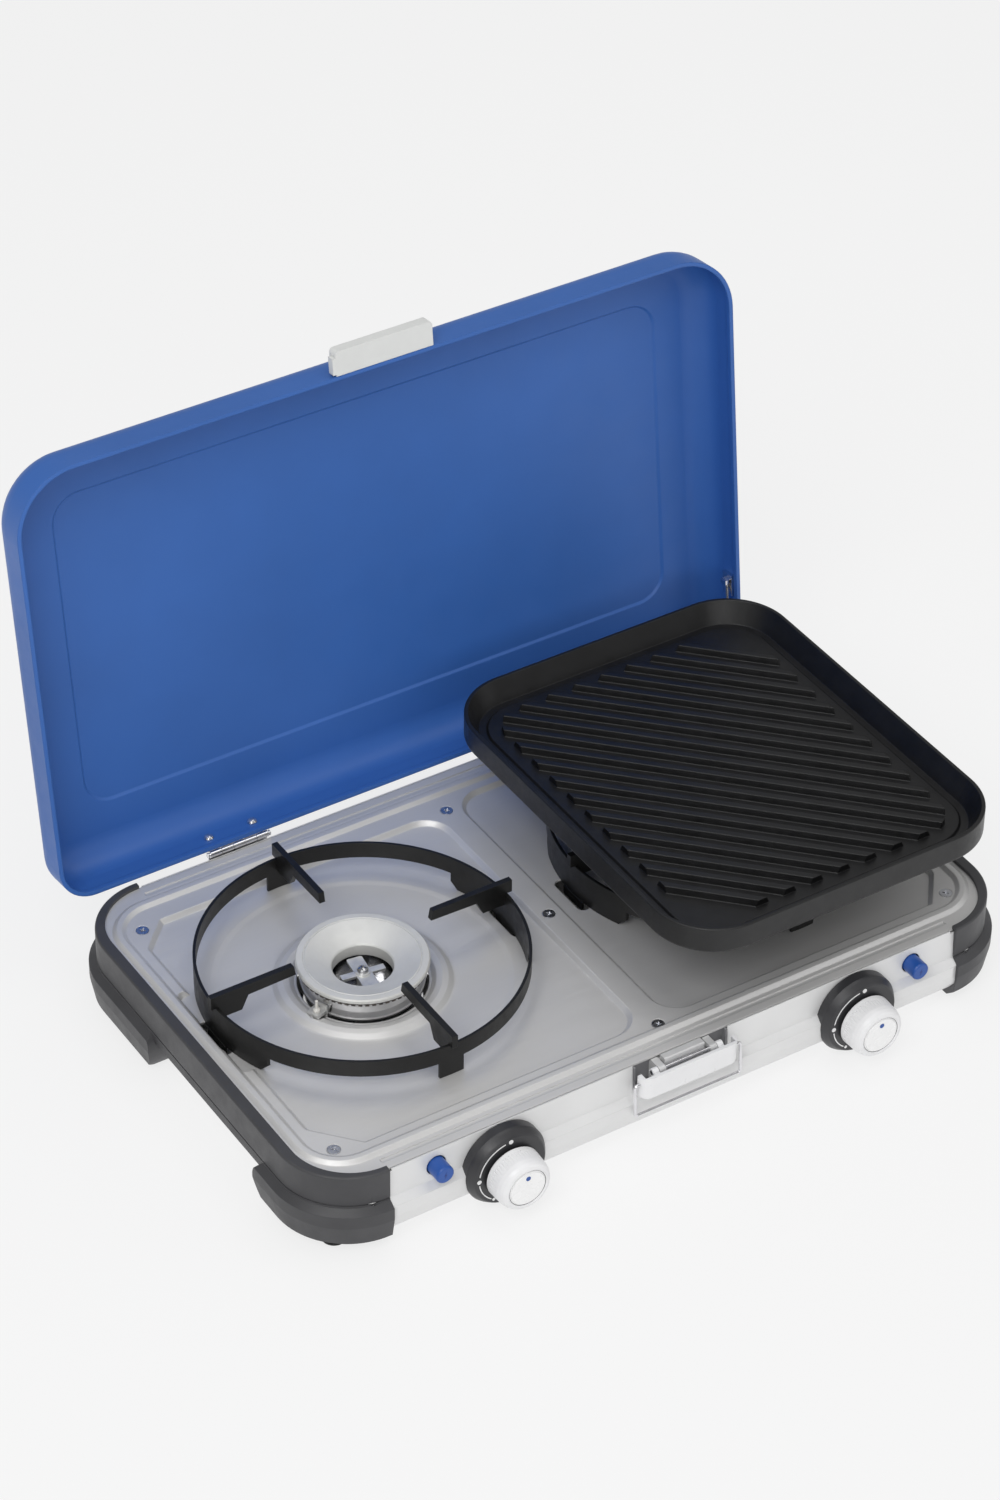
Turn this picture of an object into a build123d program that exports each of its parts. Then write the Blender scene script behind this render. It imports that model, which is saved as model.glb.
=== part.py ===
from build123d import *
import math
import os

os.makedirs("parts", exist_ok=True)

# Frame: millimetres, X to the right, Y to the back, Z up, origin on the ground under the middle of the body.

# Body
plate_z = 60.0
body_half_x = 272.1
body_half_y = 165.0
step_half_y = 170.4
sheet = 1.5
floor_z = 12.9

# Burners and pan supports
burner_x = 137.8
burner_y = 6.2
support_r = 111.15
support_top = plate_z + 32.0

# Controls on the front panel
knob_x = 138.0
valve_z = plate_z - 29.5
button_x = 185.6
button_z = plate_z - 12.3

# Lid, opened a little past upright
lid_lean = 6.81
lid_half = 275.75
lid_height = 320.0
lid_depth = 37.7
hinge_y = 163.5
hinge_z = plate_z + 3.0

# Grill plate
grill_x = 141.2
grill_y = 0.3
grill_half_x = 128.8
grill_half_y = 154.4
grill_top = plate_z + 72.0


def save(part, name):
    part.label = name
    export_step(part, "parts/" + name + ".step")


def turned(points, origin, direction):
    """Solid of revolution: each point is (radius, distance along direction)."""
    along = Vector(*direction).normalized()
    across = Vector(1, 0, 0) if abs(along.X) < 0.9 else Vector(0, 1, 0)
    plane = Plane(origin=origin, x_dir=across, z_dir=across.cross(along))
    with BuildPart() as made:
        with BuildSketch(plane):
            with BuildLine():
                Polyline(*points, close=True)
            make_face()
        revolve(axis=Axis(origin, tuple(along)))
    return made.part


def rod(start, end, radius):
    along = Vector(*end) - Vector(*start)
    with BuildPart() as made:
        with BuildSketch(Plane(origin=start, z_dir=tuple(along.normalized()))):
            Circle(radius)
        extrude(amount=along.length)
    return made.part


def block(x0, x1, y0, y1, z0, z1):
    with BuildPart() as made:
        with Locations(((x0 + x1) / 2, (y0 + y1) / 2, (z0 + z1) / 2)):
            Box(x1 - x0, y1 - y0, z1 - z0)
    return made.part


def prism(points, plane, amount, draft=0.0):
    with BuildPart() as made:
        with BuildSketch(plane):
            with BuildLine():
                Polyline(*points, close=True)
            make_face()
        extrude(amount=amount, taper=draft)
    return made.part


def wire(points, radius, bend):
    """Round wire through the points, with bent corners."""
    start = Vector(*points[0])
    heading = Vector(*points[1]) - start
    with BuildPart() as made:
        with BuildLine() as path:
            FilletPolyline(*points, radius=bend)
        with BuildSketch(Plane(origin=start, z_dir=tuple(heading.normalized()))):
            Circle(radius)
        sweep(path=path.line)
    return made.part


def rounded_plate(half_x, half_y, corner, z0, z1, draft=0.0, centre=(0, 0)):
    """Upright rounded-rectangle block from z0 towards z1."""
    with BuildPart() as made:
        with BuildSketch(Plane.XY.offset(z0)):
            with Locations(centre):
                RectangleRounded(2 * half_x, 2 * half_y, corner)
        extrude(amount=z1 - z0, taper=draft)
    return made.part


def body_solid(inset, half_x, corner, top):
    """The folded front-to-back section of the body, cut to a rounded plan."""
    side = [
        (163.6 - inset, top),
        (165.0 - inset, 37.4),
        (170.4 - inset, 33.5),
        (170.6 - inset, 25.0),
        (169.0 - inset, 17.0),
        (165.5 - inset, 11.2 + inset / 2),
        (161.0 - inset, 10.0 + inset),
    ]
    other = [(-y, z) for y, z in reversed(side)]
    with BuildPart() as made:
        with BuildSketch(Plane.YZ):
            with BuildLine():
                Polyline(*side, *other, close=True)
            make_face()
        extrude(amount=half_x, both=True)
        with BuildSketch(Plane.XY):
            RectangleRounded(2 * half_x, 2 * step_half_y, corner)
        extrude(amount=100, mode=Mode.INTERSECT)
        # the end walls lean inwards below the feet's shoulder
        ends = [(-half_x, 100), (-half_x, 33), (17 - half_x, 9), (half_x - 17, 9), (half_x, 33), (half_x, 100)]
        add(prism(ends, Plane.XZ.offset(-200), 400), mode=Mode.INTERSECT)
    return made.part


# ---------------------------------------------------------------- body tray
tray_outer = body_solid(1.4, 266.8, 62.0, plate_z - 0.1)
tray_inner = body_solid(1.4 + sheet, 265.3, 60.5, plate_z + 20)
screw_spots = [(-239.7, 121.1), (239.7, 121.1), (-239.7, -128.2), (239.7, -128.2)]
screw_spots += [(0, 123.6), (0, -6.1), (0, -136.7)]

with BuildPart() as base_tray:
    add(tray_outer)
    add(tray_inner, mode=Mode.SUBTRACT)
    # the plate runs out over the tray at both ends, so the walls are lower there
    for side in (-1, 1):
        with Locations((side * 250, 0, plate_z + 3.2)):
            Box(64, 400, 10, mode=Mode.SUBTRACT)
    # posts the plate is screwed down to
    with BuildSketch(Plane.XY.offset(11.2)):
        with Locations(*screw_spots):
            Circle(6)
    extrude(amount=plate_z - 1.6 - 11.2)
    with BuildSketch(Plane.XY.offset(plate_z - 2.8)):
        with Locations(*screw_spots):
            Circle(3.3)
    extrude(amount=5, mode=Mode.SUBTRACT)
    with BuildSketch(Plane.XY.offset(plate_z - 14)):
        with Locations(*screw_spots):
            Circle(2.0)
    extrude(amount=20, mode=Mode.SUBTRACT)
    # control holes in the front panel
    with BuildSketch(Plane.XZ.offset(150)):
        with Locations((-knob_x, valve_z), (knob_x, valve_z)):
            Circle(9)
        with Locations((-button_x, button_z), (button_x, button_z)):
            Circle(7.2)
    extrude(amount=30, mode=Mode.SUBTRACT)
    # hole for the gas inlet in the back wall
    with BuildSketch(Plane.XZ.offset(-180)):
        with Locations((200, valve_z)):
            Circle(6.2)
    extrude(amount=30, mode=Mode.SUBTRACT)
    # seat of the latch, a shallow notch in the top of the front panel
    with Locations((0, -164, plate_z - 8.5)):
        Box(74, 8, 24, mode=Mode.SUBTRACT)
    # air slots in the floor under each burner
    with BuildSketch(Plane.XY.offset(5)):
        for side in (-1, 1):
            for turn in range(6):
                with Locations((side * burner_x, burner_y)):
                    with PolarLocations(72, 1, start_angle=30 + 60 * turn):
                        SlotOverall(44, 8, rotation=90)
    extrude(amount=12, mode=Mode.SUBTRACT)
save(base_tray.part, "base_tray")

# ---------------------------------------------------------------- top plate
plate_half_x = 265.5
plate_half_y = 160.9


def field(x_left, x_right, cut_left, cut_right, back, z, deep):
    """Sunken field of the plate; the outer corners are cut off, the inner ones rounded."""
    front = -133.0
    points = []
    if cut_left:
        points += [(x_left, -103), (x_left + 26.5, front), (x_right, front), (x_right, back)]
        points += [(x_left + 21.5, back), (x_left, back - 22)]
    if cut_right:
        points += [(x_left, front), (x_right - 20.9, front), (x_right, -106.8), (x_right, back - 36)]
        points += [(x_right - 28, back), (x_left, back)]
    with BuildPart() as made:
        with BuildSketch(Plane.XY.offset(z)) as outline:
            with BuildLine():
                Polyline(*points, close=True)
            make_face()
            inner = outline.vertices().group_by(Axis.X)[-1 if cut_left else 0]
            fillet(inner, radius=21)
            outer = outline.vertices().group_by(Axis.X)[0 if cut_left else -1]
            fillet(outer, radius=8)
        extrude(amount=-deep, taper=45)
    return made.part


def plate_form(drop):
    """Everything below the pressed top surface, lowered by drop."""
    z = plate_z - drop
    with BuildPart() as made:
        add(rounded_plate(plate_half_x, plate_half_y, 44, z - 20, z))
        # bead round the edge
        with BuildSketch(Plane.XY.offset(z)):
            RectangleRounded(2 * 261.6, 2 * 148.1, 34.6)
            RectangleRounded(2 * 252.4, 2 * 138.9, 25.4, mode=Mode.SUBTRACT)
        extrude(amount=2.2, taper=52)
        # shallow valley just outside the bead at front and back
        for side in (-1, 1):
            with Locations((0, side * 152.8, z)):
                Box(440, 3.0, 1.2, mode=Mode.SUBTRACT)
        # sunken fields, each with a notch that clears the pan support
        add(field(-246, -8, True, False, 125, z, 3), mode=Mode.SUBTRACT)
        add(field(9, 246, False, True, 133, z, 3), mode=Mode.SUBTRACT)
        for side in (-1, 1):
            with BuildSketch(Plane.XY.offset(z + 0.01)):
                with Locations((side * 245.5, 8.0)):
                    RectangleRounded(16, 90, 6)
            extrude(amount=-3.01, taper=40, mode=Mode.SUBTRACT)
        # dishes that fall towards the burners, with a raised ring round each opening
        for side in (-1, 1):
            at = (side * burner_x, burner_y, z)
            add(turned([(0, -2.9), (101, -2.9), (96, -3.4), (64, -4.6), (0, -4.6)], at, (0, 0, 1)), mode=Mode.SUBTRACT)
            ring = [(44.2, -12), (61.5, -12), (61.5, -4.6), (60.0, -4.4), (56.5, -2.3), (52.5, -1.6)]
            ring += [(48.4, -2.3), (44.2, -5.4)]
            add(turned(ring, at, (0, 0, 1)))
            add(rod((at[0], at[1], z - 30), (at[0], at[1], z + 5), 43.7), mode=Mode.SUBTRACT)
    return made.part


with BuildPart() as top_plate:
    add(plate_form(0))
    add(plate_form(sheet), mode=Mode.SUBTRACT)
    # slots that take the tongues of the pan supports
    with BuildSketch(Plane.XY.offset(plate_z - 15)):
        for side in (-1, 1):
            with Locations((side * burner_x - 111.5, 5), (side * burner_x + 111.5, 5)):
                SlotOverall(36, 10, rotation=90)
    extrude(amount=30, mode=Mode.SUBTRACT)
    # clearance for the igniters at the edge of the openings
    with BuildSketch(Plane.XY.offset(plate_z - 15)):
        for side in (-1, 1):
            with Locations((side * (burner_x + 44.7), burner_y - 16.3)):
                Circle(5.4)
    extrude(amount=30, mode=Mode.SUBTRACT)
    with Locations(*[(x, y, plate_z) for x, y in screw_spots]):
        CounterSinkHole(radius=2.1, counter_sink_radius=4.6, depth=10)
save(top_plate.part, "top_plate")

# ---------------------------------------------------------------- end bumpers and feet
band_top = plate_z + 2.5
arch_z = 31.5

with BuildPart() as bumper_form:
    add(rounded_plate(body_half_x, body_half_y, 50, arch_z, band_top))
    rim = bumper_form.edges().group_by(Axis.Z)[-1]
    fillet(rim, radius=1.6)
    foot_top = rounded_plate(277.2, step_half_y, 55, 33.5, 37.2, draft=55)
    foot_wall = rounded_plate(277.2, step_half_y, 55, 24.0, 33.5)
    foot_low = rounded_plate(277.2, step_half_y, 55, 24.0, 9.0, draft=10)
    foot_sole = rounded_plate(274.6, step_half_y - 2.6, 52.4, 9.0, 3.0, draft=48)
    add(foot_top)
    add(foot_wall)
    add(foot_low)
    add(foot_sole)
    # lightly stepped line above the foot
    with BuildSketch(Plane.XY.offset(38.4)):
        RectangleRounded(2 * body_half_x + 2, 2 * body_half_y + 2, 51)
        RectangleRounded(2 * body_half_x - 1.2, 2 * body_half_y - 1.2, 49.4, mode=Mode.SUBTRACT)
    extrude(amount=1.0, mode=Mode.SUBTRACT)

# the feet end in rounded bulges either side of the arch
arch_end = [(42, 39.5), (36, 34.5), (33.5, 29), (33.8, 22), (36.5, 13), (41.5, 5), (48, -1)]
arch_middle = -14.0
with BuildPart() as arch_cut:
    with BuildSketch(Plane.YZ.offset(-300)):
        with BuildLine():
            front_end = Spline(*[(arch_middle - 42 - u, z) for u, z in arch_end])
            back_end = Spline(*[(arch_middle + 28 + u, z) for u, z in arch_end])
            Line(front_end @ 0, back_end @ 0)
            Line(front_end @ 1, back_end @ 1)
        make_face()
    extrude(amount=600)
    with Locations((0, 0, 46)):
        Box(2 * body_half_x, 400, 28.99, mode=Mode.SUBTRACT)

with BuildPart() as bumper_ring:
    add(bumper_form.part)
    add(arch_cut.part, mode=Mode.SUBTRACT)
    add(body_solid(1.2, 267.0, 61.8, plate_z - 0.1), mode=Mode.SUBTRACT)
    add(rounded_plate(265.6, 161.1, 44.1, plate_z - 2, plate_z + 0.05), mode=Mode.SUBTRACT)
    add(rounded_plate(264.0, 160.3, 42.6, plate_z - 3, plate_z + 10), mode=Mode.SUBTRACT)
    add(rounded_plate(246.0, 139.0, 30, -1, 12), mode=Mode.SUBTRACT)
    with Locations((0, 0, 30)):
        Box(441.4, 400, 80, mode=Mode.SUBTRACT)

for side, name in ((-1, "bumper_left"), (1, "bumper_right")):
    with BuildPart() as bumper:
        add(bumper_ring.part)
        with Locations((side * 200, 0, 30)):
            Box(400, 400, 100, mode=Mode.INTERSECT)
    save(bumper.part, name)

with BuildPart() as foot_pads:
    for x, y in ((-249, -143), (249, -143), (-249, 143), (249, 143)):
        add(turned([(0, 0), (7, 0), (8.5, 1.4), (8.5, 3), (0, 3)], (x, y, 0), (0, 0, 1)))
save(foot_pads.part, "foot_pads")

# countersunk cross-head screws through the plate
with BuildPart() as plate_screws:
    for x, y in screw_spots:
        add(turned([(0, 0), (4.4, 0), (1.95, -2.45), (1.95, -13), (0, -13)], (x, y, plate_z), (0, 0, 1)))
    with BuildSketch(Plane.XY.offset(plate_z - 1.4)):
        with Locations(*screw_spots):
            Rectangle(4.2, 0.9, rotation=45)
            Rectangle(4.2, 0.9, rotation=135)
    extrude(amount=3, mode=Mode.SUBTRACT)
save(plate_screws.part, "plate_screws")

# ---------------------------------------------------------------- burners
cup_profile = [(0, 22), (42, 22), (42, 69.5), (40.6, 69.5), (40.6, 23.2), (0, 23.2)]
cap_profile = [(33.9, 71.3), (43, 71.3), (44.5, 72.4), (44.5, 74.3), (43.7, 75.3), (39.6, 75.3), (39.3, 74.9)]
cap_profile += [(38.8, 74.9), (38.4, 75.2), (30.0, 72.0), (21.3, 68.2), (20.5, 67.2), (20.5, 59), (21.7, 59)]
cap_profile += [(21.7, 65.8), (30.0, 69.6)]


def burner_cup(x):
    venturi_hole = rod((x, burner_y - 50, valve_z), (x, burner_y - 30, valve_z), 9.0)
    foot = turned([(17, floor_z), (30, floor_z), (30, floor_z + 1.2), (21, floor_z + 1.2), (21, 22), (19.8, 22)]
                  + [(19.8, floor_z + 1.2), (17, floor_z + 1.2)], (x, burner_y, 0), (0, 0, 1))
    with BuildPart() as made:
        add(turned(cup_profile, (x, burner_y, 0), (0, 0, 1)))
        add(venturi_hole, mode=Mode.SUBTRACT)
        add(foot)
    return made.part


def flame_ring(x):
    """Toothed ring between cup and cap; the gas leaves between the teeth."""
    with BuildPart() as made:
        add(turned([(34, 66), (40.5, 66), (40.5, 69.6), (43.4, 69.6), (43.4, 71.3), (34, 71.3)],
                   (x, burner_y, 0), (0, 0, 1)))
        with BuildSketch(Plane.XY.offset(71.05)):
            with Locations((x, burner_y)):
                with PolarLocations(42.6, 60):
                    Rectangle(3.4, 1.9)
        extrude(amount=2, mode=Mode.SUBTRACT)
        with BuildSketch(Plane.XY.offset(68.5)):
            with Locations((x, burner_y)):
                with PolarLocations(43.2, 60):
                    Rectangle(2.4, 1.9)
        extrude(amount=2.3, mode=Mode.SUBTRACT)
        add(block(x - 50, x + 50, burner_y - 50, burner_y + 50, 71.0, 72.0), mode=Mode.SUBTRACT)
        add(turned([(34, 70.9), (40.2, 70.9), (40.2, 71.3), (34, 71.3)], (x, burner_y, 0), (0, 0, 1)))
    return made.part


def burner_cap(x):
    """Dished ring-shaped cap with a short neck round its central hole."""
    return turned(cap_profile, (x, burner_y, 0), (0, 0, 1))


def tie_bar(x):
    """Bar across the middle of the burner, turned up at its ends, with a cross arm."""
    with BuildPart() as made:
        with BuildSketch(Plane.XY.offset(60.0)):
            with Locations((x, burner_y)):
                RectangleRounded(11, 31, 1.5, rotation=-8)
                Rectangle(31, 5, rotation=-8)
        extrude(amount=2.0)
        with BuildSketch(Plane.XY.offset(62.0)):
            with Locations((x, burner_y)):
                Circle(5.2)
        extrude(amount=1.2)
        add(rod((x, burner_y, 23.2), (x, burner_y, 60.0), 4.2))
    return made.part


def mixing_tube(x):
    outer = [(0, 0), (9, 0), (9, -18), (6.8, -34), (6.8, -48), (10, -66), (10, -74), (0, -74)]
    inner = [(0, 1), (7.8, 1), (7.8, -18), (5.6, -34), (5.6, -48), (8.8, -66), (8.8, -75), (0, -75)]
    start = (x, burner_y - 40.9, valve_z)
    with BuildPart() as made:
        add(turned(outer, start, (0, 1, 0)))
        add(turned(inner, start, (0, 1, 0)), mode=Mode.SUBTRACT)
        # air slots near the jet
        with Locations((x, burner_y - 40.9 - 64, valve_z)):
            Box(40, 9, 5, mode=Mode.SUBTRACT)
            Box(5, 9, 40, mode=Mode.SUBTRACT)
        # saddle that holds it to the floor
        add(block(x - 8, x + 8, burner_y - 84, burner_y - 76, floor_z, valve_z - 6.2))
    return made.part


for side, name in ((-1, "left"), (1, "right")):
    x = side * burner_x
    save(burner_cup(x), "burner_cup_" + name)
    save(flame_ring(x), "flame_ring_" + name)
    save(burner_cap(x), "burner_cap_" + name)

with BuildPart() as tie_bars:
    add(tie_bar(-burner_x))
    add(tie_bar(burner_x))
save(tie_bars.part, "burner_tie_bars")

with BuildPart() as mixing_tubes:
    add(mixing_tube(-burner_x))
    add(mixing_tube(burner_x))
save(mixing_tubes.part, "mixing_tubes")

with BuildPart() as burner_screws:
    for side in (-1, 1):
        x = side * burner_x
        dome = [(0, 63.2), (3.9, 63.2), (3.9, 64.0), (3.2, 65.4), (1.8, 66.3), (0, 66.6)]
        add(turned(dome, (x, burner_y, 0), (0, 0, 1)))
    with BuildSketch(Plane.XY.offset(65.2)):
        with Locations((-burner_x, burner_y), (burner_x, burner_y)):
            Rectangle(4.6, 1.0, rotation=30)
            Rectangle(4.6, 1.0, rotation=120)
    extrude(amount=3, mode=Mode.SUBTRACT)
save(burner_screws.part, "burner_screws")

# igniters: ceramic rod in a clip on the outer side of each burner
spark_angle = 20.0
spark_spots = []
for side in (-1, 1):
    reach = 47.6 * math.cos(math.radians(spark_angle))
    spark_spots.append((side * (burner_x + reach), burner_y - 47.6 * math.sin(math.radians(spark_angle)), side))

with BuildPart() as spark_electrodes:
    for x, y, side in spark_spots:
        add(turned([(0, 32), (2.4, 32), (2.4, 62), (1.0, 63.5), (1.0, 69.2), (0, 69.2)], (x, y, 0), (0, 0, 1)))
with BuildPart() as spark_clips:
    for x, y, side in spark_spots:
        turn = side * -spark_angle
        with BuildSketch(Plane(origin=(x, y, 58.6), x_dir=(math.cos(math.radians(turn)),
                                                           math.sin(math.radians(turn)), 0))):
            Rectangle(8.4, 9.5)
            Circle(2.45, mode=Mode.SUBTRACT)
        extrude(amount=2.4)
        with BuildSketch(Plane(origin=(x, y, 50), x_dir=(math.cos(math.radians(turn)),
                                                         math.sin(math.radians(turn)), 0))):
            with Locations((-side * 4.9, 0)):
                Rectangle(1.2, 9.5)
        extrude(amount=14)
save(spark_electrodes.part, "spark_electrodes")
save(spark_clips.part, "spark_clips")

# ---------------------------------------------------------------- pan supports
skirt_bottom = plate_z - 2.7


def support_ring(x):
    side_skirt = 26.0
    with BuildPart() as made:
        add(turned([(109.15, plate_z + 9.9), (support_r, plate_z + 9.9), (support_r, plate_z + 22.2),
                    (109.15, plate_z + 22.2)], (x, burner_y, 0), (0, 0, 1)))
        band = turned([(109.15, skirt_bottom), (support_r, skirt_bottom), (support_r, plate_z + 9.9),
                       (109.15, plate_z + 9.9)], (x, burner_y, 0), (0, 0, 1))
        half = 110 * math.sin(math.radians(side_skirt))
        flank = [(-half, plate_z + 9.9), (half, plate_z + 9.9), (half, plate_z + 3.0), (half - 5, skirt_bottom)]
        flank += [(5 - half, skirt_bottom), (-half, plate_z + 3.0)]
        with BuildPart(mode=Mode.PRIVATE) as skirts:
            add(prism([(u + burner_y, v) for u, v in flank], Plane.YZ.offset(x - 120), 240))
            foot = [(x - 9, skirt_bottom), (x + 9, skirt_bottom), (x + 9, plate_z + 9.9), (x - 9, plate_z + 9.9)]
            add(prism(foot, Plane.XZ.offset(-burner_y - 120), 240))
            add(band, mode=Mode.INTERSECT)
        add(skirts.part)
        # tongues that drop through the slots of the plate
        for way in (-1, 1):
            with Locations((x + way * 110.6, 5, skirt_bottom - 3)):
                Box(1.8, 22, 7)
    return made.part


def support_arms(x):
    """Four bars on edge, deeper where they meet the ring and notched over it."""
    top = support_top
    bar = [(51.5, top - 7.5), (53, top), (114.6, top), (114.6, plate_z + 22.3), (111.3, plate_z + 22.3)]
    bar += [(109.1, plate_z + 22.3), (109.1, plate_z + 13), (92, plate_z + 13), (87, top - 8.5)]
    with BuildPart() as made:
        for turn in range(4):
            angle = math.radians(90 * turn)
            out = (math.cos(angle), math.sin(angle), 0)
            across = (math.sin(angle), -math.cos(angle), 0)
            face = Plane(origin=(x - 2.1 * across[0], burner_y - 2.1 * across[1], 0), x_dir=out, z_dir=across)
            add(prism(bar, face, 4.2))
    return made.part


for side, name in ((-1, "left"), (1, "right")):
    save(support_ring(side * burner_x), "pan_ring_" + name)
    save(support_arms(side * burner_x), "pan_arms_" + name)

# ---------------------------------------------------------------- grill plate
grill_floor = grill_top - 15.5
with BuildPart() as grill_plate:
    add(rounded_plate(grill_half_x, grill_half_y, 46, grill_top - 20, grill_top, centre=(grill_x, grill_y)))
    fillet(grill_plate.edges().group_by(Axis.Z)[-1], radius=0.8)
    fillet(grill_plate.edges().group_by(Axis.Z)[0], radius=3)
    with BuildSketch(Plane.XY.offset(grill_top)):
        with Locations((grill_x, grill_y)):
            RectangleRounded(2 * grill_half_x - 5.4, 2 * grill_half_y - 5.4, 43.3)
    extrude(amount=-15.5, taper=26, mode=Mode.SUBTRACT)
    # raised cooking field inside the fat channel
    with BuildSketch(Plane.XY.offset(grill_floor)):
        with Locations((grill_x, grill_y)):
            RectangleRounded(2 * 113.5, 2 * 139, 31)
    extrude(amount=1.6, taper=40)

rib_pitch = 15.4
rib_length = 400.0
with BuildPart() as grill_ribs:
    with BuildSketch(Plane.XY.offset(grill_floor + 1.5)):
        with Locations((grill_x, grill_y)):
            RectangleRounded(2 * 103.5, 2 * 129, 22)
    extrude(amount=5.0)
    comb_plane = Plane(origin=(grill_x, grill_y, grill_floor), z_dir=(1, -1, 0), x_dir=(1, 1, 0))
    with BuildSketch(comb_plane.offset(-rib_length / 2)):
        for step in range(-9, 9):
            with Locations((rib_pitch * (step + 0.5), 3.9)):
                Trapezoid(7.4, 4.8, 72)
    extrude(amount=rib_length, mode=Mode.INTERSECT)

with BuildPart() as grill_whole:
    add(grill_plate.part)
    add(grill_ribs.part)
    # ring under the plate that stands on the arms, opened where the arms pass
    skirt = turned([(82, support_top + 0.4), (86, support_top + 0.4), (87.5, grill_top - 19.8), (82, grill_top - 19.8)],
                   (burner_x, burner_y, 0), (0, 0, 1))
    add(skirt)
    for way in (-1, 1):
        with Locations((burner_x, burner_y + way * 60, support_top + 4)):
            Box(46, 60, 14, mode=Mode.SUBTRACT)
save(grill_whole.part, "grill_plate")

# ---------------------------------------------------------------- knobs, bezels, valves
tray_skin = body_solid(1.35, 300, 62.0, plate_z + 20)


def knob(x):
    body = [(0, 177.6), (19.0, 177.6), (19.7, 178.4), (19.2, 189.5), (18.6, 192.4), (17.7, 194.4), (16.4, 195.8)]
    body += [(14.6, 196.4), (13.9, 195.9), (13.5, 195.3), (0, 195.3)]
    with BuildPart() as made:
        add(turned(body, (x, 0, valve_z), (0, -1, 0)))
        add(turned([(0, 170), (5, 170), (5, 178.3), (0, 178.3)], (x, 0, valve_z), (0, -1, 0)))
        with BuildSketch(Plane.XZ.offset(181.5)):
            with Locations((x, valve_z)):
                with PolarLocations(19.75, 54):
                    Circle(0.6)
        extrude(amount=8.0, mode=Mode.SUBTRACT)
        add(rod((x, -160, valve_z), (x, -186, valve_z), 3.0), mode=Mode.SUBTRACT)
        add(rod((x, -194.4, valve_z + 8.4), (x, -200, valve_z + 8.4), 1.8), mode=Mode.SUBTRACT)
    return made.part


def face_cap(x):
    """Thin disc let into the face of the knob, with a fine groove round it."""
    with BuildPart() as made:
        add(turned([(0, 195.3), (13.4, 195.3), (13.4, 195.5), (12.8, 195.6), (12.5, 196.3), (0, 196.3)],
                   (x, 0, valve_z), (0, -1, 0)))
        add(rod((x, -190, valve_z + 8.4), (x, -200, valve_z + 8.4), 1.75), mode=Mode.SUBTRACT)
    return made.part


def bezel(x):
    cone = [(5.4, 150), (29.6, 150), (29.6, 169.6), (28.8, 171.4), (26.7, 174.8), (25.8, 175.5), (5.4, 175.5)]
    with BuildPart() as made:
        add(turned(cone, (x, 0, valve_z), (0, -1, 0)))
        add(tray_skin, mode=Mode.SUBTRACT)
        add(block(x - 40, x + 40, -163.0, -140, 0, 70), mode=Mode.SUBTRACT)
    return made.part


def bezel_marks(x):
    """Three raised dots joined by thin arcs: off, high and low."""
    with BuildPart() as made:
        with BuildSketch(Plane.XZ.offset(175.5)):
            with Locations((x, valve_z)):
                for angle, dot in ((90, 1.6), (180, 1.6), (238, 1.1)):
                    with PolarLocations(23.4, 1, start_angle=angle):
                        Circle(dot)
        extrude(amount=0.3)
        for first, last in ((100, 170), (188, 232)):
            with BuildSketch(Plane(origin=(x, -175.5, valve_z), x_dir=(1, 0, 0), z_dir=(0, -1, 0))):
                with BuildLine():
                    outer = CenterArc((0, 0), 23.75, first, last - first)
                    inner = CenterArc((0, 0), 23.05, first, last - first)
                    Line(outer @ 0, inner @ 0)
                    Line(outer @ 1, inner @ 1)
                make_face()
            extrude(amount=0.3)
    return made.part


def valve(x):
    with BuildPart() as made:
        add(turned([(0, 118), (3, 118), (3, 122), (6, 122), (6, 128), (9.5, 128), (9.5, 150), (6.5, 150)]
                   + [(6.5, 158), (0, 158)], (x, 0, valve_z), (0, -1, 0)))
        add(block(x - 7, x + 7, -148, -118.5, valve_z - 9.4, valve_z - 4))
        add(rod((x, -165, valve_z), (x, -140, valve_z), 3.4), mode=Mode.SUBTRACT)
        add(rod((x, -141, valve_z), (x, -110, valve_z), 0.6), mode=Mode.SUBTRACT)
    return made.part


for side, name in ((-1, "left"), (1, "right")):
    x = side * knob_x
    save(knob(x), "knob_" + name)
    save(face_cap(x), "knob_face_" + name)
    save(bezel(x), "bezel_" + name)
    save(rod((x, -141, valve_z), (x, -186, valve_z), 3.0), "valve_stem_" + name)
with BuildPart() as valves:
    add(valve(-knob_x))
    add(valve(knob_x))
save(valves.part, "gas_valves")

with BuildPart() as marks:
    add(bezel_marks(-knob_x))
    add(bezel_marks(knob_x))
save(marks.part, "bezel_marks")

with BuildPart() as knob_dots:
    for side in (-1, 1):
        add(rod((side * knob_x, -194.4, valve_z + 8.4), (side * knob_x, -196.5, valve_z + 8.4), 1.7))
save(knob_dots.part.solids().sort_by(Axis.X)[0], "knob_dot_left")
save(knob_dots.part.solids().sort_by(Axis.X)[-1], "knob_dot_right")

# gas rail under the valves, and its run to the inlet at the back
rail_z = valve_z - 13.5
with BuildPart() as gas_rail:
    add(wire([(-knob_x - 6, -122, rail_z), (205, -122, rail_z), (205, -90, rail_z)], 4.0, 12))
    add(wire([(205, -90, rail_z), (205, 105, rail_z), (200, 126, valve_z), (200, 149.9, valve_z)], 4.0, 9))
save(gas_rail.part, "gas_rail")

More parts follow.
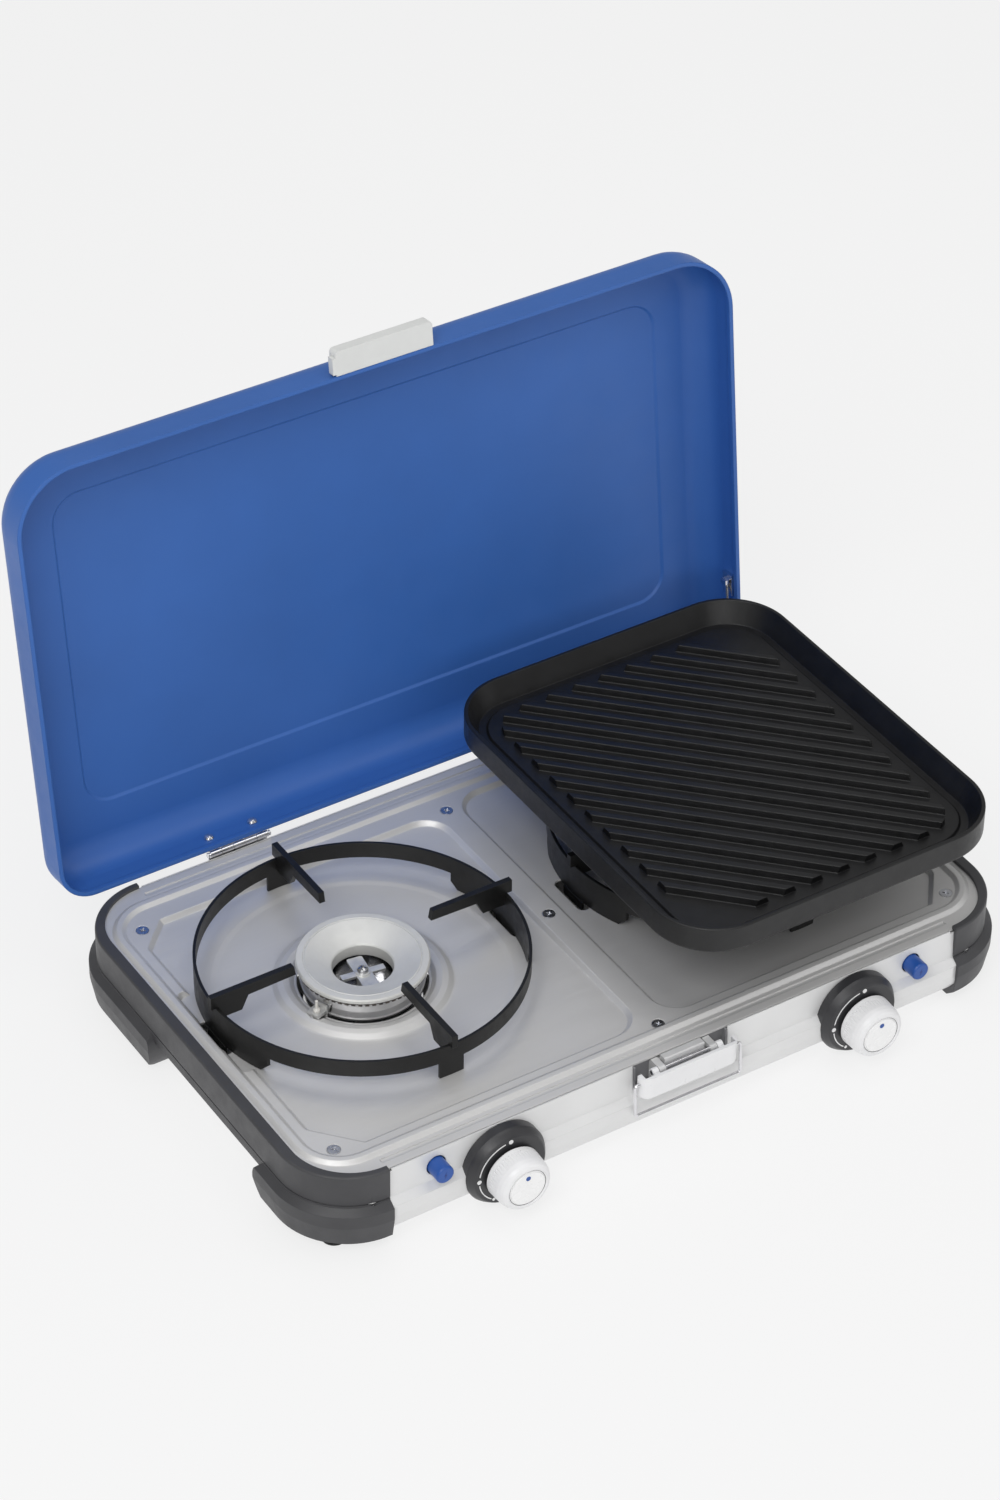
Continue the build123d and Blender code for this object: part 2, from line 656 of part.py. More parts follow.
with BuildPart() as gas_inlet:
    nipple = [(0, 150), (8, 150), (8, 160), (6.0, 160), (6.0, 171), (9, 171), (9, 175), (4.0, 175), (4.0, 177)]
    for ridge in range(3):
        nipple += [(5.2, 177 + 5 * ridge), (4.2, 182 + 5 * ridge)]
    nipple += [(4.2, 200), (2.5, 200), (2.5, 155), (0, 155)]
    add(turned(nipple, (200, 0, valve_z), (0, 1, 0)))
save(gas_inlet.part, "gas_inlet")

# ---------------------------------------------------------------- spark buttons
for side, name in ((-1, "left"), (1, "right")):
    x = side * button_x
    at = (x, 0, button_z)
    cap = [(0, 146), (4, 146), (4, 150), (6.4, 150), (6.4, 173.2), (6.0, 174.1), (5.2, 174.4), (0, 174.4)]
    with BuildPart() as button:
        add(turned(cap, at, (0, -1, 0)))
        add(turned([(0, 140), (2.6, 140), (2.6, 154), (0, 154)], at, (0, -1, 0)), mode=Mode.SUBTRACT)
    save(button.part, "spark_button_" + name)
    case = [(0, 112), (2, 112), (2, 118), (7.6, 118), (7.6, 161.2), (6.75, 161.2), (6.75, 138), (0, 138)]
    save(turned(case, at, (0, -1, 0)), "spark_unit_" + name)
    with BuildPart() as spring:
        with BuildLine() as coil:
            Helix(pitch=2.4, height=11.0, radius=1.9, center=(x, -138.6, button_z), direction=(0, -1, 0))
        start = coil.line @ 0
        with BuildSketch(Plane(origin=start, z_dir=coil.line % 0)):
            Circle(0.3)
        sweep(path=coil.line, is_frenet=True)
    save(spring.part, "spark_spring_" + name)

with BuildPart() as spark_leads:
    for x, y, side in spark_spots:
        way = [(side * button_x, -112, button_z), (side * button_x, -96, button_z), (side * 192, -64, 22)]
        way += [(side * 192, -32, 20), (x, y, 20), (x, y, 32)]
        add(wire(way, 1.3, 5))
save(spark_leads.part, "spark_leads")

# ---------------------------------------------------------------- lid
lid_plane = Plane(origin=(0, 163.7, plate_z + 5.98), x_dir=(1, 0, 0),
                  z_dir=(0, math.cos(math.radians(lid_lean)), -math.sin(math.radians(lid_lean))))


def lid_spot(u, w, n):
    """Point u across, w up from the hinge edge and n deep from the rim of the lid."""
    return tuple(lid_plane.from_local_coords(Vector(u, -w, n)))


def lid_block(inset, depth, start, shoulder, hinge_corner, free_corner):
    with BuildPart() as made:
        with BuildSketch(lid_plane.offset(start)) as outline:
            with Locations((0, -lid_height / 2)):
                Rectangle(2 * (lid_half - inset), lid_height - 2 * inset)
            fillet(outline.vertices().group_by(Axis.Y)[0], radius=free_corner)
            fillet(outline.vertices().group_by(Axis.Y)[-1], radius=hinge_corner)
        extrude(amount=depth - start)
        if shoulder > 0:
            far = made.faces().sort_by(Axis((0, 0, 0), tuple(lid_plane.z_dir)))[-1]
            fillet(far.edges(), radius=shoulder)
    return made.part


def lid_panel(start, depth, grow):
    """Large pressed panel in the middle of the lid."""
    with BuildPart() as made:
        with BuildSketch(lid_plane.offset(start)):
            with Locations((0, -161.1)):
                RectangleRounded(2 * (234.6 + grow), 236.4 + 2 * grow, 21 + grow)
        extrude(amount=depth, taper=45)
    return made.part


with BuildPart() as lid_shell:
    add(lid_block(0.0, lid_depth, 0.0, 20.0, 25.0, 45.0))
    add(lid_panel(lid_depth - 0.01, 1.61, 0.6))
    add(lid_block(sheet, lid_depth - sheet, -1.0, 18.5, 23.5, 43.5), mode=Mode.SUBTRACT)
    add(lid_panel(lid_depth - sheet - 0.01, 1.61, 0.0), mode=Mode.SUBTRACT)
    # hemmed rim
    with BuildSketch(lid_plane) as hem:
        with Locations((0, -lid_height / 2)):
            Rectangle(2 * lid_half, lid_height)
        fillet(hem.vertices().group_by(Axis.Y)[0], radius=45)
        fillet(hem.vertices().group_by(Axis.Y)[-1], radius=25)
        offset(amount=-3.0, mode=Mode.SUBTRACT)
    extrude(amount=4.0)
save(lid_shell.part, "lid_shell")

with BuildPart() as lid_catch:
    with BuildSketch(lid_plane.offset(0.2)) as catch_face:
        with Locations((0, -329.1)):
            Rectangle(74, 17.9)
        fillet(catch_face.vertices().group_by(Axis.Y)[0], radius=3)
    extrude(amount=8)
    with BuildSketch(lid_plane.offset(0.2)):
        with Locations((-38.2, -327.5)):
            Rectangle(2.6, 12)
    extrude(amount=5.5)
    with BuildSketch(lid_plane.offset(8.1)):
        with Locations((0, -333)):
            Rectangle(52, 5)
    extrude(amount=-2.4, mode=Mode.SUBTRACT)
save(lid_catch.part, "lid_catch")

with BuildPart() as catch_rivets:
    for u in (-22, 22):
        add(rod(lid_spot(u, 315.8, 7.3), lid_spot(u, 318.4, 7.3), 3.0))
save(catch_rivets.part, "catch_rivets")

# ---------------------------------------------------------------- hinges
knuckle_r = 2.3
knuckle = (164.6 - 119.2) / 5
base_knuckles = []
lid_knuckles = []
for side in (-1, 1):
    for place in range(5):
        near = 119.2 + place * knuckle
        span = (side * (near + 0.2), side * (near + knuckle - 0.2))
        if place % 2 == 0:
            base_knuckles.append(span)
        else:
            lid_knuckles.append(span)

with BuildPart() as base_hinge_leaves:
    for a, b in base_knuckles:
        low, high = min(a, b), max(a, b)
        add(rod((low, hinge_y, hinge_z), (high, hinge_y, hinge_z), knuckle_r))
        add(block(low, high, 164.5, 165.7, 52, hinge_z))
    for side in (-1, 1):
        low, high = sorted((side * 119.2, side * 164.6))
        add(block(low, high, 164.5, 165.7, 38.2, plate_z - 0.4))
    for a, b in base_knuckles:
        low, high = min(a, b), max(a, b)
        add(rod((low - 1, hinge_y, hinge_z), (high + 1, hinge_y, hinge_z), 1.3), mode=Mode.SUBTRACT)
save(base_hinge_leaves.part, "base_hinge_leaves")

with BuildPart() as hinge_pins:
    for side in (-1, 1):
        low, high = sorted((side * 118.4, side * 165.4))
        add(rod((low, hinge_y, hinge_z), (high, hinge_y, hinge_z), 1.25))
        add(rod((low - 0.8, hinge_y, hinge_z), (low, hinge_y, hinge_z), 2.0))
        add(rod((high, hinge_y, hinge_z), (high + 0.8, hinge_y, hinge_z), 2.0))
save(hinge_pins.part, "hinge_pins")

with BuildPart() as lid_hinge_leaves:
    for a, b in lid_knuckles:
        low, high = min(a, b), max(a, b)
        add(rod((low, hinge_y, hinge_z), (high, hinge_y, hinge_z), knuckle_r))
        with BuildSketch(lid_plane.offset(0.3)):
            with Locations(((low + high) / 2, 0.85)):
                Rectangle(high - low, 1.5)
        extrude(amount=3)
    with BuildSketch(lid_plane.offset(3.2)):
        for side in (-1, 1):
            with Locations((side * 141.9, 0.85)):
                Rectangle(45.4, 1.5)
    extrude(amount=15)
    for a, b in lid_knuckles:
        low, high = min(a, b), max(a, b)
        add(rod((low - 1, hinge_y, hinge_z), (high + 1, hinge_y, hinge_z), 1.3), mode=Mode.SUBTRACT)
save(lid_hinge_leaves.part, "lid_hinge_leaves")

with BuildPart() as lid_screws:
    for side in (-1, 1):
        for u in (124, 158):
            seat = lid_spot(side * u, 1.55, 12.5)
            along = Vector(*lid_spot(side * u, 2.55, 12.5)) - Vector(*seat)
            add(turned([(0, 0), (3.6, 0), (3.6, 0.8), (2.9, 2.0), (1.6, 2.7), (0, 2.9)], seat, tuple(along)))
save(lid_screws.part, "lid_screws")

with BuildPart() as base_rivets:
    for side in (-1, 1):
        for u in (126, 158):
            add(turned([(0, 165.75), (3.2, 165.75), (2.7, 166.9), (1.4, 167.5), (0, 167.6)],
                       (side * u, 0, 46), (0, 1, 0)))
save(base_rivets.part, "base_hinge_rivets")

# ---------------------------------------------------------------- side brace of the lid
brace_path = [lid_spot(270.2, 52, 9), lid_spot(263, 12, -3.2), lid_spot(257, -2.98, -3.2)]
brace_path += [lid_spot(250, -2.98, 0.155), (238.0, hinge_y, hinge_z)]
with BuildPart() as lid_brace:
    add(wire(brace_path, 1.2, 2.0))
save(lid_brace.part, "lid_brace")

with BuildPart() as brace_clip:
    with BuildSketch(lid_plane.offset(4.4)):
        with Locations((272.7, -52)):
            Rectangle(2.8, 16)
    extrude(amount=11)
    with BuildSketch(lid_plane.offset(6.0)):
        with Locations((270.0, -55.2)):
            Rectangle(5.4, 3.4)
    extrude(amount=6)
save(brace_clip.part, "brace_clip")

with BuildPart() as brace_eye:
    add(block(239.6, 241.4, 160.2, hinge_y + 2.2, 47, hinge_z))
    add(rod((239.6, hinge_y, hinge_z), (241.4, hinge_y, hinge_z), 2.55))
    add(body_solid(0.4, 300, 62.0, plate_z + 3), mode=Mode.SUBTRACT)
    add(rod((230, hinge_y, hinge_z), (250, hinge_y, hinge_z), 1.55), mode=Mode.SUBTRACT)
save(brace_eye.part, "brace_eye")

# ---------------------------------------------------------------- latch
pivot_y = -169.6
pivot_z = plate_z - 4.6
lever_low = plate_z - 20.8
lever_high = plate_z - 2.2
bail_y = -171.5
bail_top = plate_z - 8.6
with BuildPart() as latch_pocket:
    add(block(-36.6, 36.6, -163.0, -158.0, plate_z - 20.2, plate_z - 1.8))
    add(block(-35.2, 35.2, -164.0, -159.4, plate_z - 18.8, plate_z + 2), mode=Mode.SUBTRACT)
save(latch_pocket.part, "latch_pocket")

with BuildPart() as latch_mount:
    add(block(-15.5, 15.5, -167.4, -161.2, plate_z - 14, plate_z))
    fillet(latch_mount.edges().filter_by(Axis.X).group_by(Axis.Z)[-1], radius=1.2)
    for side in (-1, 1):
        low, high = sorted((side * 17.5, side * 22.5))
        add(block(low, high, pivot_y, -161.2, plate_z - 14, plate_z - 1.7))
        add(rod((low, pivot_y, pivot_z), (high, pivot_y, pivot_z), 2.9))
    add(block(-22.5, 22.5, -162.5, -159.5, plate_z - 18, plate_z - 3.4))
    add(rod((-30, pivot_y, pivot_z), (30, pivot_y, pivot_z), 1.7), mode=Mode.SUBTRACT)
save(latch_mount.part, "latch_mount")

save(rod((-27.4, pivot_y, pivot_z), (27.4, pivot_y, pivot_z), 1.7), "latch_pin")

# hollow hood with rounded ends, open at the top and the back
with BuildPart() as latch_lever:
    add(rounded_plate(38, 9.5, 7.5, lever_low, lever_high, centre=(0, -167.5)))
    fillet(latch_lever.edges().group_by(Axis.Z)[0], radius=3)
    add(block(-40, 40, -169.4, -150, lever_low - 1, lever_high + 1), mode=Mode.SUBTRACT)
    add(block(-35, 35, -174.6, -165, lever_low + 1.8, lever_high + 1), mode=Mode.SUBTRACT)
    for side in (-1, 1):
        low, high = sorted((side * 22.9, side * 27.2))
        add(block(low, high, -175.2, pivot_y, pivot_z - 2.6, pivot_z + 1.0))
        add(rod((low, pivot_y, pivot_z), (high, pivot_y, pivot_z), 2.8))
    add(rod((-30, pivot_y, pivot_z), (30, pivot_y, pivot_z), 1.76), mode=Mode.SUBTRACT)
    # sockets for the ends of the wire bail
    for side in (-1, 1):
        add(rod((side * 36, bail_y, bail_top), (side * 39, bail_y, bail_top), 1.16), mode=Mode.SUBTRACT)
save(latch_lever.part, "latch_lever")

bail_wire = [(-36.5, bail_y, bail_top), (-41.2, bail_y, bail_top), (-41.2, -173.2, plate_z - 32.8)]
bail_wire += [(41.2, -173.2, plate_z - 32.8), (41.2, bail_y, bail_top), (36.5, bail_y, bail_top)]
save(wire(bail_wire, 1.1, 2.0), "latch_bail")
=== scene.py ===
import math

import bmesh
import bpy
from mathutils import Matrix, Vector


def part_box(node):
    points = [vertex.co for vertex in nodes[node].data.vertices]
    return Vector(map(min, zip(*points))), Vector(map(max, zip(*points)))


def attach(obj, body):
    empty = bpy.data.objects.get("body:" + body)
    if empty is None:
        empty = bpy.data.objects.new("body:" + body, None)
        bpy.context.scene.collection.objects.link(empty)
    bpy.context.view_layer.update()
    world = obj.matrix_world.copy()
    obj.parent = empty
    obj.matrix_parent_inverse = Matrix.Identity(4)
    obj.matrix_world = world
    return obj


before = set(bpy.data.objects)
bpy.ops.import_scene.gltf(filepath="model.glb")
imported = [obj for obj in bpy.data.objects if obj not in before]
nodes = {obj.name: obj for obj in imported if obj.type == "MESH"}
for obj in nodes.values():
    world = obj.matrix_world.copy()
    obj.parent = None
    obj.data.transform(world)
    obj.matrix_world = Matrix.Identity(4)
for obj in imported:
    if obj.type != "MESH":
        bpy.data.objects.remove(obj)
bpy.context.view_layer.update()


# ------------------------------------------------------------------ materials
class Finish:
    """A Principled material with its noise fields placed in the object's own frame."""

    def __init__(self, name, colour, rough, metallic=0.0, **fixed):
        self.mat = bpy.data.materials.new(name)
        self.mat.use_nodes = True
        self.tree = self.mat.node_tree
        self.shader = self.tree.nodes["Principled BSDF"]
        self.shader.inputs["Metallic"].default_value = metallic
        self.shader.inputs["Base Color"].default_value = (*colour, 1.0)
        self.shader.inputs["Roughness"].default_value = rough
        for socket, value in fixed.items():
            self.shader.inputs[socket.replace("_", " ")].default_value = value
        self.colour = colour
        self.rough = rough
        self.coords = self.tree.nodes.new("ShaderNodeTexCoord").outputs["Object"]
        self.normal = None

    def link(self, a, b):
        self.tree.links.new(a, b)

    def noise(self, scale, stretch=(1, 1, 1), detail=3.0, roughness=0.55):
        place = self.tree.nodes.new("ShaderNodeMapping")
        place.inputs["Scale"].default_value = stretch
        self.link(self.coords, place.inputs["Vector"])
        field = self.tree.nodes.new("ShaderNodeTexNoise")
        field.inputs["Scale"].default_value = scale
        field.inputs["Detail"].default_value = detail
        field.inputs["Roughness"].default_value = roughness
        self.link(place.outputs["Vector"], field.inputs["Vector"])
        return field.outputs["Fac"]

    def span(self, field, low, high, start=0.3, end=0.7):
        """The field from start to end, stretched to low to high."""
        node = self.tree.nodes.new("ShaderNodeMapRange")
        node.inputs["From Min"].default_value = start
        node.inputs["From Max"].default_value = end
        node.inputs["To Min"].default_value = low
        node.inputs["To Max"].default_value = high
        self.link(field, node.inputs["Value"])
        return node.outputs["Result"]

    def mottle(self, scale, amount, stretch=(1, 1, 1), other=None):
        """Colour drifts from a darker form of the base colour to a lighter one, or to the given one."""
        ramp = self.tree.nodes.new("ShaderNodeValToRGB")
        light = other or tuple(min(1.0, c * (1 + amount)) for c in self.colour)
        dark = tuple(c * (1 - amount) for c in self.colour)
        ramp.color_ramp.elements[0].position = 0.32
        ramp.color_ramp.elements[0].color = (*dark, 1)
        ramp.color_ramp.elements[1].position = 0.68
        ramp.color_ramp.elements[1].color = (*light, 1)
        self.link(self.noise(scale, stretch), ramp.inputs["Fac"])
        self.link(ramp.outputs["Color"], self.shader.inputs["Base Color"])
        return self

    def uneven(self, scale, swing, stretch=(1, 1, 1)):
        field = self.noise(scale, stretch, detail=5.0)
        self.link(self.span(field, self.rough - swing, self.rough + swing), self.shader.inputs["Roughness"])
        return self

    def relief(self, scale, depth, stretch=(1, 1, 1), detail=2.0):
        """Fine surface relief, depth in metres; several stack."""
        bump = self.tree.nodes.new("ShaderNodeBump")
        bump.inputs["Strength"].default_value = 1.0
        bump.inputs["Distance"].default_value = depth
        self.link(self.noise(scale, stretch, detail), bump.inputs["Height"])
        if self.normal is not None:
            self.link(self.normal, bump.inputs["Normal"])
        self.normal = bump.outputs["Normal"]
        self.link(self.normal, self.shader.inputs["Normal"])
        return self

    def soften(self, radius):
        """Light catches along pressed and moulded edges."""
        bevel = self.tree.nodes.new("ShaderNodeBevel")
        bevel.samples = 4
        bevel.inputs["Radius"].default_value = radius
        self.normal = bevel.outputs["Normal"]
        self.link(self.normal, self.shader.inputs["Normal"])
        return self


LID_BLUE = (0.034, 0.125, 0.420)
BUTTON_BLUE = (0.012, 0.075, 0.330)

powder = Finish("powder_blue", LID_BLUE, 0.46, Specular_IOR_Level=0.45)
powder.soften(0.0012).relief(2600, 0.000035).relief(700, 0.00003)
powder.mottle(9, 0.05).uneven(60, 0.05)

plate = Finish("plate_satin_steel", (0.66, 0.655, 0.65), 0.48, 0.50)
plate.soften(0.0012).relief(900, 0.000012, (0.04, 1, 1)).relief(4200, 0.000006)
plate.mottle(14, 0.04, (0.3, 1, 1)).uneven(500, 0.05, (0.05, 1, 1))

panel = Finish("panel_silver", (0.74, 0.74, 0.74), 0.40, 0.20)
panel.soften(0.0010).relief(2200, 0.00002).mottle(30, 0.02).uneven(120, 0.05)

bumper = Finish("bumper_moulded", (0.048, 0.048, 0.052), 0.48, Specular_IOR_Level=0.5)
bumper.soften(0.0008).relief(3800, 0.00004).mottle(40, 0.08).uneven(90, 0.06)

rubber = Finish("foot_rubber", (0.015, 0.015, 0.015), 0.85)
rubber.relief(2500, 0.00006).mottle(120, 0.2).uneven(200, 0.05)

zinc = Finish("zinc_screw", (0.60, 0.61, 0.64), 0.30, 1.0)
zinc.soften(0.0003).relief(4000, 0.00001).mottle(200, 0.08).uneven(300, 0.08)

chrome = Finish("polished_chrome", (0.52, 0.52, 0.53), 0.09, 1.0)
chrome.soften(0.0004).relief(300, 0.000015).mottle(60, 0.05).uneven(220, 0.04)

flame_steel = Finish("flame_ring_steel", (0.09, 0.09, 0.095), 0.50, 0.8)
flame_steel.relief(2500, 0.00003).mottle(220, 0.2, other=(0.16, 0.13, 0.11)).uneven(300, 0.08)

bar_steel = Finish("tie_bar_steel", (0.66, 0.66, 0.65), 0.36, 0.6)
bar_steel.soften(0.0005).relief(1500, 0.00002).mottle(150, 0.08).uneven(300, 0.08)

cap = Finish("burner_cap_grey", (0.66, 0.66, 0.64), 0.50, 0.30)
cap.soften(0.0006).relief(3000, 0.00002).mottle(60, 0.04).uneven(160, 0.05)

cast = Finish("cast_aluminium", (0.52, 0.52, 0.52), 0.50, 1.0)
cast.relief(1500, 0.00006).mottle(80, 0.1).uneven(150, 0.08)

ceramic = Finish("electrode_ceramic", (0.72, 0.70, 0.66), 0.25)
ceramic.relief(1200, 0.00002).mottle(200, 0.05).uneven(200, 0.05)

lead = Finish("lead_jacket", (0.02, 0.02, 0.02), 0.55)
lead.relief(2500, 0.00002).mottle(100, 0.2).uneven(200, 0.05)

bezel_and_groove_shade = Finish("bezel_moulded_and_groove_shade", (0.028, 0.028, 0.031), 0.40, Specular_IOR_Level=0.5)
bezel_and_groove_shade.soften(0.0005).relief(4200, 0.00003).mottle(60, 0.08).uneven(120, 0.06)

print_white = Finish("dial_print", (0.80, 0.80, 0.80), 0.55)
print_white.relief(5000, 0.00001).mottle(300, 0.03).uneven(300, 0.05)

white = Finish("white_plastic", (0.80, 0.80, 0.81), 0.32, Specular_IOR_Level=0.5)
white.soften(0.0005).relief(3000, 0.00001).mottle(60, 0.015).uneven(150, 0.05)

white_face = Finish("white_knob_face", (0.88, 0.88, 0.88), 0.28, Specular_IOR_Level=0.5)
white_face.soften(0.0003).relief(3600, 0.000008).mottle(90, 0.015).uneven(150, 0.04)

blue = Finish("blue_plastic", BUTTON_BLUE, 0.36, Specular_IOR_Level=0.5)
blue.soften(0.0005).relief(3600, 0.00002).mottle(90, 0.05).uneven(200, 0.05)

brass = Finish("brass", (0.62, 0.43, 0.16), 0.30, 1.0)
brass.soften(0.0004).relief(1800, 0.00001).mottle(120, 0.08).uneven(260, 0.08)

hinge_chrome = Finish("hinge_chrome", (0.74, 0.74, 0.76), 0.16, 1.0)
hinge_chrome.soften(0.0003).relief(900, 0.00001).mottle(120, 0.05).uneven(300, 0.05)

catch = Finish("catch_grey", (0.70, 0.71, 0.70), 0.42)
catch.soften(0.0006).relief(3200, 0.00002).mottle(60, 0.02).uneven(120, 0.05)

pocket = Finish("pocket_grey", (0.22, 0.22, 0.23), 0.50)
pocket.relief(3000, 0.00002).mottle(60, 0.04).uneven(120, 0.05)

mount = Finish("mount_silver", (0.66, 0.66, 0.66), 0.34, 0.3)
mount.soften(0.0005).relief(2200, 0.00002).mottle(60, 0.03).uneven(120, 0.05)

enamel = Finish("black_enamel", (0.006, 0.006, 0.006), 0.40, Specular_IOR_Level=0.4)
enamel.soften(0.0006).relief(900, 0.00005).relief(3500, 0.00002).mottle(60, 0.25).uneven(160, 0.07)

grill = Finish("cast_non_stick", (0.006, 0.006, 0.0065), 0.38, Specular_IOR_Level=0.45)
grill.soften(0.0010).relief(2400, 0.00006).relief(500, 0.00003).mottle(60, 0.25).uneven(200, 0.06)

glyph = Finish("glyph_print", (0.010, 0.035, 0.20), 0.50)
glyph.relief(5000, 0.00001).mottle(300, 0.05).uneven(300, 0.05)

LOOKS = {
    powder: ["lid_shell"],
    plate: ["top_plate"],
    panel: ["base_tray"],
    bumper: ["bumper_left", "bumper_right"],
    rubber: ["foot_pads"],
    zinc: ["plate_screws", "base_hinge_rivets", "catch_rivets"],
    chrome: ["burner_cup_left", "burner_cup_right", "burner_screws"],
    flame_steel: ["flame_ring_left", "flame_ring_right"],
    bar_steel: ["burner_tie_bars", "valve_stem_left", "valve_stem_right",
                "spark_spring_left", "spark_spring_right", "spark_clips"],
    cap: ["burner_cap_left", "burner_cap_right"],
    cast: ["mixing_tubes", "gas_rail"],
    ceramic: ["spark_electrodes"],
    lead: ["spark_leads", "spark_unit_left", "spark_unit_right"],
    bezel_and_groove_shade: ["bezel_left", "bezel_right"],
    print_white: ["bezel_marks"],
    white: ["knob_left", "knob_right", "latch_lever"],
    white_face: ["knob_face_left", "knob_face_right"],
    blue: ["spark_button_left", "spark_button_right", "knob_dot_left", "knob_dot_right"],
    brass: ["gas_valves", "gas_inlet"],
    hinge_chrome: ["base_hinge_leaves", "lid_hinge_leaves", "hinge_pins", "lid_screws", "lid_brace",
                   "brace_clip", "brace_eye", "latch_bail", "latch_pin"],
    catch: ["lid_catch"],
    pocket: ["latch_pocket"],
    mount: ["latch_mount"],
    enamel: ["pan_ring_left", "pan_ring_right", "pan_arms_left", "pan_arms_right"],
    grill: ["grill_plate"],
}
for finish, names in LOOKS.items():
    for name in names:
        for material_slot in nodes[name].material_slots:
            material_slot.link = "OBJECT"
            material_slot.material = finish.mat
dressed = {name for names in LOOKS.values() for name in names}
assert dressed == set(nodes), dressed ^ set(nodes)


# ------------------------------------------------------------------ small printed marks and painted groove shade
def flat_mark(name, outline, centre, thick, material, body):
    """A thin raised mark that faces the front: its outline points lie in the XZ plane."""
    mesh = bpy.data.meshes.new(name)
    bm = bmesh.new()
    ring = [bm.verts.new((centre[0] + x, centre[1], centre[2] + z)) for x, z in outline]
    face = bm.faces.new(ring)
    lifted = bmesh.ops.extrude_face_region(bm, geom=[face])
    top = [v for v in lifted["geom"] if isinstance(v, bmesh.types.BMVert)]
    bmesh.ops.translate(bm, verts=top, vec=(0, -thick, 0))
    bmesh.ops.recalc_face_normals(bm, faces=bm.faces)
    bm.to_mesh(mesh)
    bm.free()
    mark = bpy.data.objects.new(name, mesh)
    bpy.context.scene.collection.objects.link(mark)
    mesh.materials.append(material)
    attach(mark, body)


GLYPH_THICK = 0.00008
BOLT = [(0.0006, 0.0028), (-0.0011, -0.0003), (-0.0001, -0.0002),
        (-0.0008, -0.0028), (0.0012, 0.0005), (0.0002, 0.0004)]
for side in ("left", "right"):
    low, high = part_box("spark_button_" + side)
    middle = ((low[0] + high[0]) / 2, low[1] - 0.00001, (low[2] + high[2]) / 2)
    flat_mark("spark_glyph_" + side, BOLT, middle, GLYPH_THICK, glyph.mat, side + "_button")



GROOVE_INNER = 0.01345
GROOVE_OUTER = 0.01385
GROOVE_THICK = 0.0002
GROOVE_STEPS = 96


def groove_shade_ring(name, centre, inner, outer, thick, material, body):
    """A painted shade line: a dark ring in the bottom of the groove between a knob and its face disc,
    standing in for the shade there.
    """
    mesh = bpy.data.meshes.new(name)
    bm = bmesh.new()
    turns = [2 * math.pi * step / GROOVE_STEPS for step in range(GROOVE_STEPS)]
    loops = []
    for radius, lift in ((inner, 0.0), (inner, thick), (outer, thick), (outer, 0.0)):
        loops.append([bm.verts.new((centre[0] + radius * math.cos(turn), centre[1] - lift,
                                    centre[2] + radius * math.sin(turn))) for turn in turns])
    for first, second in zip(loops, loops[1:] + loops[:1]):
        for step in range(GROOVE_STEPS):
            after = (step + 1) % GROOVE_STEPS
            bm.faces.new((first[step], first[after], second[after], second[step]))
    bmesh.ops.recalc_face_normals(bm, faces=bm.faces)
    bm.to_mesh(mesh)
    bm.free()
    line = bpy.data.objects.new(name, mesh)
    bpy.context.scene.collection.objects.link(line)
    mesh.materials.append(material)
    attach(line, body)


# Painted shade: a dark ring in each knob's groove, in the bezel's black finish.
for side in ("left", "right"):
    low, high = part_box("knob_face_" + side)
    middle = ((low[0] + high[0]) / 2, high[1] - 0.0001, (low[2] + high[2]) / 2)
    groove_shade_ring("knob_groove_shade_" + side, middle, GROOVE_INNER, GROOVE_OUTER, GROOVE_THICK,
              bezel_and_groove_shade.mat, side + "_knob")

# ------------------------------------------------------------------ stage
floor_mesh = bpy.data.meshes.new("floor")
bm = bmesh.new()
bmesh.ops.create_grid(bm, x_segments=8, y_segments=8, size=6.0)
bm.to_mesh(floor_mesh)
bm.free()
floor = bpy.data.objects.new("floor", floor_mesh)
bpy.context.scene.collection.objects.link(floor)
paper = Finish("studio_paper", (0.14, 0.14, 0.14), 0.9,
               Emission_Color=(1.0, 1.0, 1.0, 1.0), Emission_Strength=0.77)
paper.mottle(3, 0.003)
floor_mesh.materials.append(paper.mat)

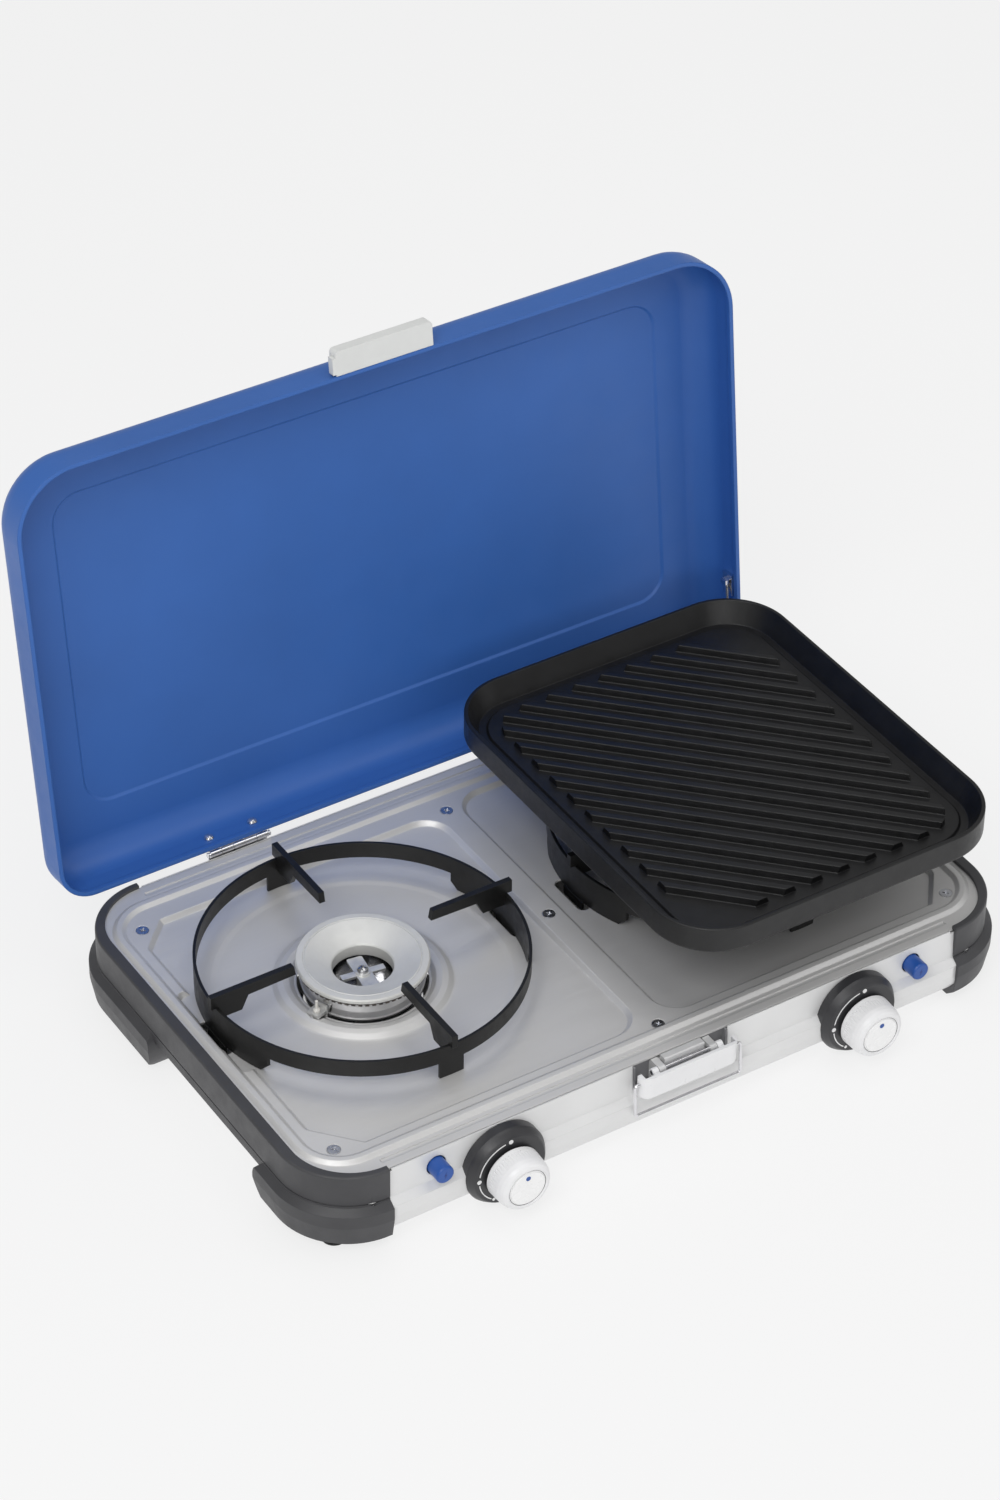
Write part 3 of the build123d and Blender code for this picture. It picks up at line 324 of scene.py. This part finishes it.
world = bpy.data.worlds.new("studio")
bpy.context.scene.world = world
world.use_nodes = True
sky = world.node_tree.nodes["Background"]
sky.inputs["Color"].default_value = (1.0, 1.0, 1.0, 1.0)
sky.inputs["Strength"].default_value = 0.36


def softbox(name, at, aim, size, power):
    light = bpy.data.lights.new(name, "AREA")
    light.shape = "RECTANGLE"
    light.size, light.size_y = size
    light.energy = power
    lamp = bpy.data.objects.new(name, light)
    lamp.location = at
    lamp.rotation_euler = (Vector(aim) - Vector(at)).to_track_quat("-Z", "Y").to_euler()
    bpy.context.scene.collection.objects.link(lamp)


softbox("key", (-1.6, -1.2, 2.4), (0, 0, 0.1), (1.6, 1.6), 38)
softbox("overhead", (0.3, 0.1, 2.6), (0, 0, 0), (2.4, 1.6), 17)
softbox("fill_right", (2.2, -1.4, 1.2), (0.1, 0, 0.1), (1.4, 1.8), 7)
softbox("front_low", (-0.6, -2.6, 0.9), (0, 0, 0.05), (2.0, 0.8), 11)

# ------------------------------------------------------------------ camera
AZIMUTH, ELEVATION, ROLL = (math.radians(v) for v in (-32.9208, 37.8592, -0.8306))
LENS = 4319.69 * 36.0 / 1500.0
STAND = Vector((-1.23303, -1.84741, 1.92039))

ahead = -Vector((math.sin(AZIMUTH) * math.cos(ELEVATION), -math.cos(AZIMUTH) * math.cos(ELEVATION),
                 math.sin(ELEVATION)))
right = ahead.cross(Vector((0, 0, 1))).normalized()
down = ahead.cross(right)
image_right = math.cos(ROLL) * right + math.sin(ROLL) * down
image_down = -math.sin(ROLL) * right + math.cos(ROLL) * down

camera_data = bpy.data.cameras.new("camera")
camera_data.lens = LENS
camera_data.sensor_width = 36.0
camera_data.sensor_fit = "AUTO"
camera_data.clip_end = 50
camera = bpy.data.objects.new("camera", camera_data)
pose = Matrix((image_right, -image_down, -ahead)).transposed().to_4x4()
pose.translation = STAND
camera.matrix_world = pose
bpy.context.scene.collection.objects.link(camera)
bpy.context.scene.camera = camera
bpy.context.scene.view_settings.view_transform = "Standard"
